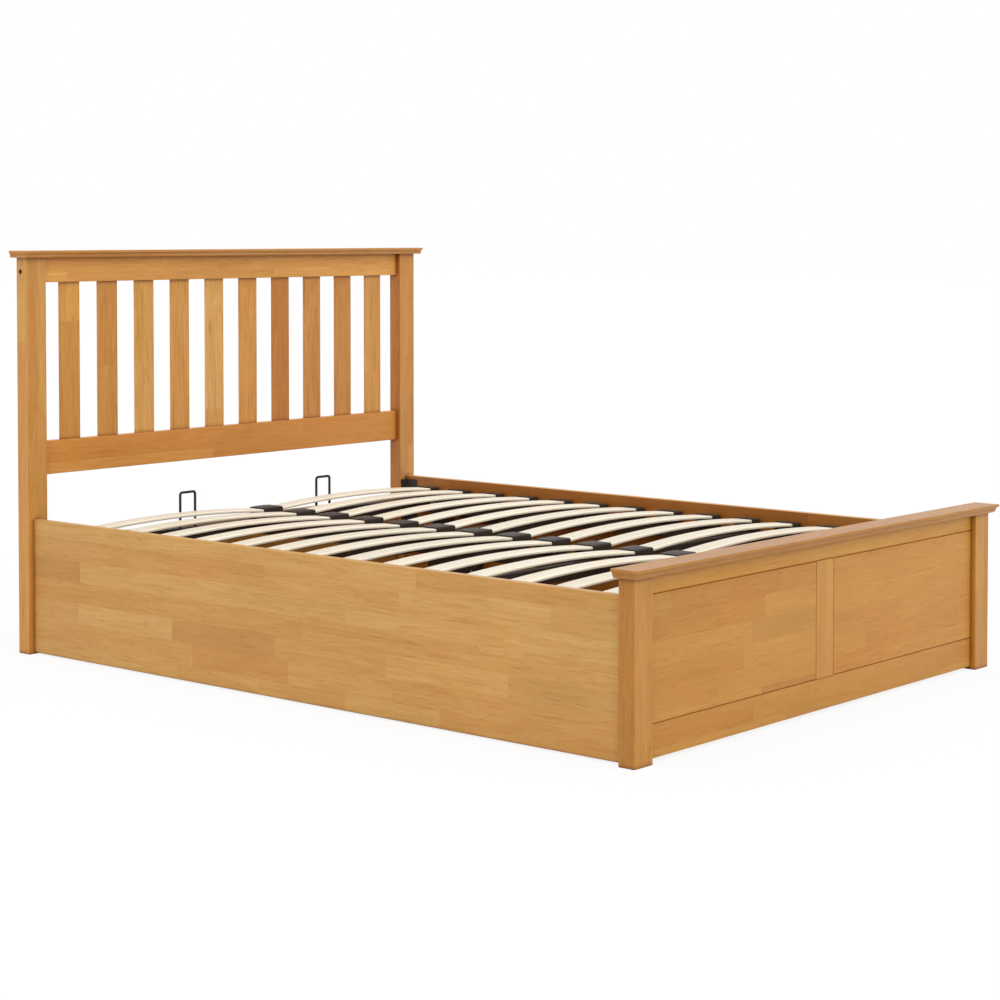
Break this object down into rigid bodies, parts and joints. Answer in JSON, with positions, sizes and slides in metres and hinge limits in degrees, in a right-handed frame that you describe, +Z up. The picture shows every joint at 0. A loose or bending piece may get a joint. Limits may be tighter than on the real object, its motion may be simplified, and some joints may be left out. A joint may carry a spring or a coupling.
{
  "type": "ottoman bed",
  "caption": "Wooden ottoman storage bed: slatted headboard, low panelled footboard, deep side panels and a bowed-slat platform that lifts on gas struts.",
  "frame": {"origin": "on the floor, under the middle of the whole bed's box", "axes": "+Z up, +Y from the footboard to the headboard, +X to the right seen from the foot end"},
  "size_m": [1.494, 2.012, 1.036],
  "materials": {
    "oak_lacquer": "satin honey lacquer",
    "birch_veneer": "pale, matt",
    "base_board": "thin board, matt",
    "frame_steel": "fine powder coat",
    "dark_hardware": "bronzed black",
    "zinc_hardware": "zinc plated",
    "black_plastic": "fine moulded grain",
    "strut_body": "satin black",
    "strut_rod": "polished",
    "webbing": "woven"
  },
  "bodies": {
    "bedstead": {"headboard_post_left": "oak_lacquer", "headboard_post_right": "oak_lacquer", "headboard_cap": "oak_lacquer", "headboard_top_rail": "oak_lacquer", "headboard_lower_rail": "oak_lacquer", "headboard_slat_01": "oak_lacquer", "headboard_slat_02": "oak_lacquer", "headboard_slat_03": "oak_lacquer", "headboard_slat_04": "oak_lacquer", "headboard_slat_05": "oak_lacquer", "headboard_slat_06": "oak_lacquer", "headboard_slat_07": "oak_lacquer", "headboard_slat_08": "oak_lacquer", "headboard_slat_09": "oak_lacquer", "headboard_slat_10": "oak_lacquer", "footboard_post_left": "oak_lacquer", "footboard_post_right": "oak_lacquer", "footboard_cap": "oak_lacquer", "footboard_top_rail": "oak_lacquer", "footboard_bottom_rail": "oak_lacquer", "footboard_centre_stile": "oak_lacquer", "footboard_panel_left": "oak_lacquer", "footboard_panel_right": "oak_lacquer", "side_panel_left": "oak_lacquer", "side_panel_right": "oak_lacquer", "head_end_panel": "oak_lacquer", "base_battens": "oak_lacquer", "base_centre_beam": "oak_lacquer", "base_board_foot": "base_board", "base_board_head": "base_board", "corner_brackets": "dark_hardware", "headboard_bolts": "dark_hardware", "bracket_bolts": "dark_hardware", "hinge_plate_left": "frame_steel", "hinge_plate_right": "frame_steel", "hinge_plate_screws": "zinc_hardware", "hinge_pin_left": "zinc_hardware", "hinge_pin_right": "zinc_hardware"},
    "platform": {"frame_side_tube_left": "frame_steel", "frame_side_tube_right": "frame_steel", "frame_centre_rail": "frame_steel", "frame_head_tube": "frame_steel", "frame_foot_tube": "frame_steel", "frame_cross_tubes": "frame_steel", "frame_end_plugs": "black_plastic", "slat_holders_left": "black_plastic", "slat_holders_right": "black_plastic", "centre_slat_holders": "black_plastic", "sprung_slats_left": "birch_veneer", "sprung_slats_right": "birch_veneer", "mattress_retainer_left": "frame_steel", "mattress_retainer_right": "frame_steel", "pull_strap": "webbing", "strap_rivets": "zinc_hardware", "hinge_arm_left": "frame_steel", "hinge_arm_right": "frame_steel"},
    "strut_cylinder_left": {"strut_cylinder_left": "strut_body"},
    "strut_cylinder_right": {"strut_cylinder_right": "strut_body"},
    "strut_rod_left": {"strut_rod_left": "strut_rod"},
    "strut_rod_right": {"strut_rod_right": "strut_rod"}
  },
  "joints": [
    {"name": "platform_lift", "type": "hinge", "parent": "bedstead", "child": "platform", "pos_m": [0, 0.813, 0.27], "axis": [-1, 0, 0], "range_deg": [0, 40], "stiffness_Nm_per_rad": 60, "springref_deg": 148.97},
    {"name": "strut_foot_swing_left", "type": "hinge", "parent": "bedstead", "child": "strut_cylinder_left", "pos_m": [-0.665, 0.67414, 0.05], "axis": [-1, 0, 0], "range_deg": [0, 20]},
    {"name": "strut_head_swing_left", "type": "hinge", "parent": "platform", "child": "strut_rod_left", "pos_m": [-0.665, 0.55521, 0.23496], "axis": [-1, 0, 0], "range_deg": [-20, 0]},
    {"name": "strut_foot_swing_right", "type": "hinge", "parent": "bedstead", "child": "strut_cylinder_right", "pos_m": [0.665, 0.67414, 0.05], "axis": [-1, 0, 0], "range_deg": [0, 20]},
    {"name": "strut_head_swing_right", "type": "hinge", "parent": "platform", "child": "strut_rod_right", "pos_m": [0.665, 0.55521, 0.23496], "axis": [-1, 0, 0], "range_deg": [-20, 0]}
  ],
  "couplings": [
    {"joint": "strut_foot_swing_left", "follows": "platform_lift", "ratio": 0.5},
    {"joint": "strut_head_swing_left", "follows": "platform_lift", "ratio": -0.5},
    {"joint": "strut_foot_swing_right", "follows": "platform_lift", "ratio": 0.5},
    {"joint": "strut_head_swing_right", "follows": "platform_lift", "ratio": -0.5}
  ]
}
